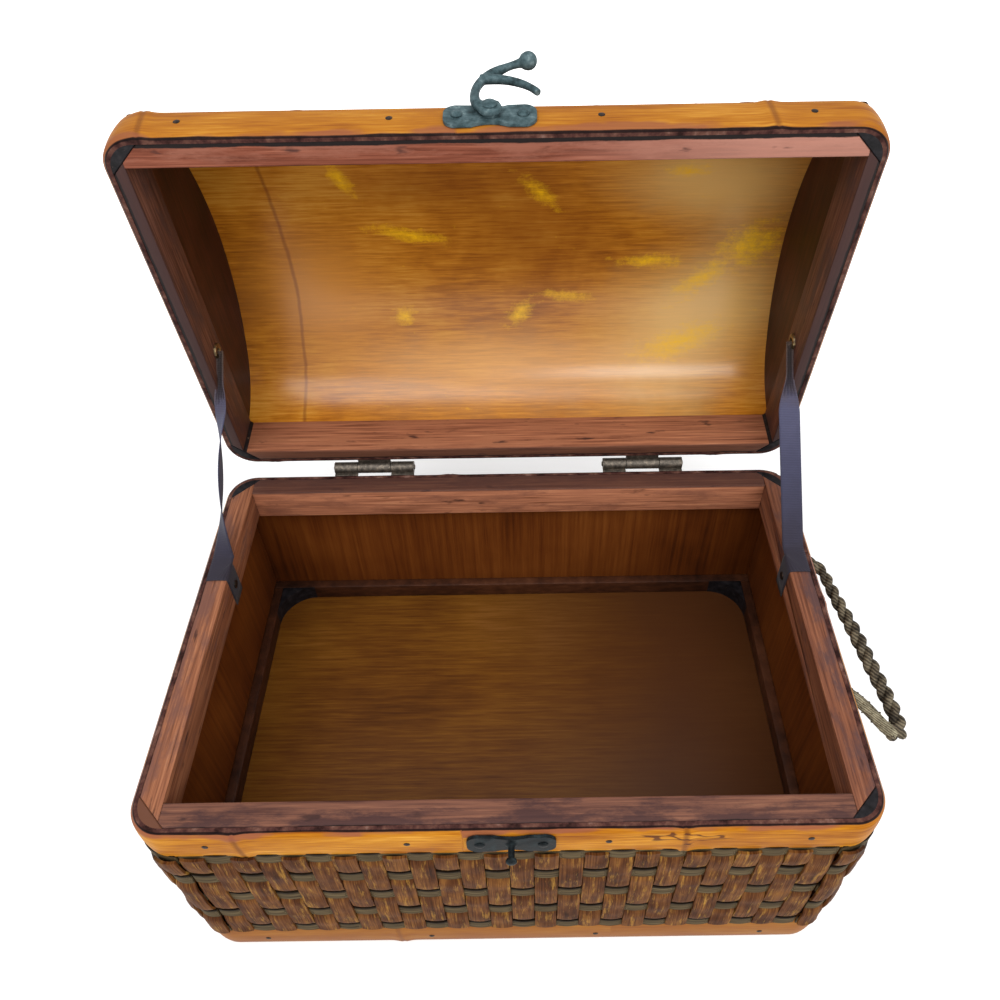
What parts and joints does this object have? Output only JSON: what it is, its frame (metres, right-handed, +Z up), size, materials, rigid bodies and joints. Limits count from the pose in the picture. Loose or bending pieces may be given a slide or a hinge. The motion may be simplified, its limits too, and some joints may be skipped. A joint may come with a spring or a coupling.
{
  "type": "rattan chest",
  "caption": "Small wooden chest with a hinged domed lid, woven rattan walls, bamboo bands, a hook clasp, rope side handles and ribbon lid stays, standing open.",
  "frame": {"origin": "centre of the rectangle that the base stands on", "axes": "+Z up, +X to the right seen from the front, +Y to the back: the clasp is at -Y and the hinges at +Y"},
  "size_m": [0.3243, 0.2511, 0.3233],
  "materials": {
    "strip_wood": "worn reddish brown stained wood, satin",
    "painted_corner": "black paint over wood",
    "wall_ply": "dark red-brown stained plywood, glossy",
    "floor_ply": "golden to dark brown stained plywood, glossy",
    "lid_ply": "golden brown varnished bent plywood",
    "frame_wood": "raw softwood of the hidden frame",
    "rattan_mat": "woven rattan strips with dark stain and worn yellow edges",
    "bamboo_band": "honey-coloured varnished bamboo",
    "dark_bronze": "blackened bronze with a green-grey bloom",
    "hinge_metal": "dull nickel on brass",
    "nail_steel": "dark steel nails",
    "staple_wire": "dull steel wire",
    "rope": "knotted plant fibre rope",
    "ribbon": "dark grey-blue woven ribbon"
  },
  "bodies": {
    "base": {"base_band_nails": "nail_steel", "base_hardware_nails": "nail_steel", "bottom_band_back": "bamboo_band", "bottom_band_front": "bamboo_band", "catch_plate": "dark_bronze", "catch_stud": "dark_bronze", "corner_fillers": "painted_corner", "floor_batten": "frame_wood", "floor_panel": "floor_ply", "floor_ring_back": "strip_wood", "floor_ring_corners": "painted_corner", "floor_ring_front": "strip_wood", "floor_ring_left": "strip_wood", "floor_ring_right": "strip_wood", "foot_strip_back": "frame_wood", "foot_strip_front": "frame_wood", "foot_strip_left": "frame_wood", "foot_strip_right": "frame_wood", "handle_staples": "staple_wire", "hinge_base_leaves": "hinge_metal", "hinge_pins": "hinge_metal", "mat_back": "rattan_mat", "mat_front": "rattan_mat", "mat_left": "rattan_mat", "mat_right": "rattan_mat", "ribbon_left": "ribbon", "ribbon_right": "ribbon", "ribbon_tacks": "dark_bronze", "rim_strip_back": "strip_wood", "rim_strip_front": "strip_wood", "rim_strip_left": "strip_wood", "rim_strip_right": "strip_wood", "top_band_back": "bamboo_band", "top_band_front": "bamboo_band", "wall_back": "wall_ply", "wall_front": "wall_ply", "wall_left": "wall_ply", "wall_right": "wall_ply"},
    "lid": {"dome_mat": "rattan_mat", "dome_sheet": "lid_ply", "end_mat_left": "rattan_mat", "end_mat_right": "rattan_mat", "hinge_lid_leaves": "hinge_metal", "hook_plate": "dark_bronze", "hook_rivet": "dark_bronze", "lid_band_back": "bamboo_band", "lid_band_front": "bamboo_band", "lid_band_nails": "nail_steel", "lid_corner_fillers": "painted_corner", "lid_end_left": "wall_ply", "lid_end_right": "wall_ply", "lid_hardware_nails": "nail_steel", "lid_strip_back": "strip_wood", "lid_strip_front": "strip_wood", "lid_strip_left": "strip_wood", "lid_strip_right": "strip_wood", "ribbon_eyelets": "dark_bronze"},
    "hook": {"clasp_hook": "dark_bronze"},
    "right_handle": {"handle_right": "rope"},
    "left_handle": {"handle_left": "rope"}
  },
  "joints": [
    {"name": "lid_hinge", "type": "hinge", "parent": "base", "child": "lid", "pos_m": [0, 0.0945, 0.1258], "axis": [-1, 0, 0], "range_deg": [-83.6, 0], "deforming": ["ribbon_left", "ribbon_right"]},
    {"name": "hook_swing", "type": "hinge", "parent": "lid", "child": "hook", "pos_m": [-0.0018, 0.08143, 0.31412], "axis": [0, -0.1115, 0.9938], "range_deg": [-150, 20]},
    {"name": "right_handle_swing", "type": "hinge", "parent": "base", "child": "right_handle", "pos_m": [0.146, 0.0147, 0.1], "axis": [0, -1, 0], "range_deg": [-60, 118]},
    {"name": "left_handle_swing", "type": "hinge", "parent": "base", "child": "left_handle", "pos_m": [-0.146, 0.0147, 0.1], "axis": [0, 1, 0], "range_deg": [-3, 175]}
  ]
}
